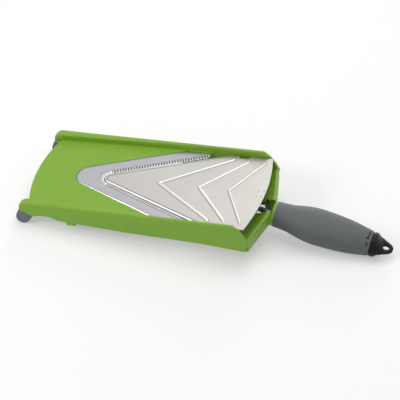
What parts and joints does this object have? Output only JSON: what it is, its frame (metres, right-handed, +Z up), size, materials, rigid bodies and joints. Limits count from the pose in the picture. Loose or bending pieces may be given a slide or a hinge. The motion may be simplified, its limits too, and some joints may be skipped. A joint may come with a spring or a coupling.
{
  "type": "mandoline slicer",
  "caption": "Handheld kitchen slicer: a tray with a fixed V blade, a ribbed steel ramp set by a screw in the handle, a gripped handle with a turning end knob, and rubber front feet.",
  "frame": {"origin": "centre of the bounding box in plan, on the surface the slicer stands on", "axes": "+X from the exit end towards the handle, +Y across towards the left rail, +Z up as it stands on its feet and grip"},
  "size_m": [0.4021, 0.126, 0.0578],
  "materials": {
    "green_plastic": "smooth moulded plastic with a soft sheen",
    "grip_grey": "soft-touch matte grip",
    "black_plastic": "fine-grained black plastic",
    "blade_steel": "ground blade steel",
    "ramp_steel": "satin stainless sheet",
    "fitting_steel": "plain stainless fittings",
    "dark_steel": "black oxide",
    "foot_rubber": "non-slip grey rubber",
    "seal_rubber": "black seal rubber",
    "grey_acetal": "grey acetal",
    "black_acetal": "black acetal"
  },
  "bodies": {
    "frame_body": {"frame": "green_plastic", "front_foot_left": "foot_rubber", "front_foot_right": "foot_rubber", "v_blade": "blade_steel", "blade_push_nut_1": "fitting_steel", "blade_push_nut_2": "fitting_steel", "blade_push_nut_3": "fitting_steel", "blade_push_nut_4": "fitting_steel", "grip": "grip_grey", "front_shaft_bush": "black_acetal", "rear_shaft_bush": "black_acetal", "thrust_washer": "black_acetal"},
    "knob_body": {"knob": "black_plastic", "control_shaft": "dark_steel", "knob_pin": "fitting_steel", "retaining_clip": "fitting_steel", "shaft_o_ring": "seal_rubber"},
    "nut_body": {"drive_nut": "black_acetal"},
    "ramp_body": {"ramp_plate": "ramp_steel", "drive_bracket": "ramp_steel", "guide_slider_left": "grey_acetal", "guide_slider_right": "grey_acetal", "slider_rivet_left": "fitting_steel", "slider_rivet_right": "fitting_steel", "front_tongue": "ramp_steel", "front_guide_pin": "fitting_steel"}
  },
  "joints": [
    {"name": "knob_turn", "type": "hinge", "parent": "frame_body", "child": "knob_body", "pos_m": [0.07169, 0, 0.02872], "axis": [-0.9906, 0, 0.137], "range_deg": [0, 300]},
    {"name": "nut_slide", "type": "slide", "parent": "frame_body", "child": "nut_body", "axis": [0.9906, 0, -0.137], "range_m": [0, 0.00611]},
    {"name": "ramp_slide", "type": "slide", "parent": "frame_body", "child": "ramp_body", "axis": [0.7872, 0, -0.6167], "range_m": [0, 0.00707]}
  ],
  "couplings": [
    {"joint": "knob_turn", "follows": "ramp_slide", "rad_per_m": 740.48},
    {"joint": "nut_slide", "follows": "ramp_slide", "ratio": 0.86427}
  ]
}
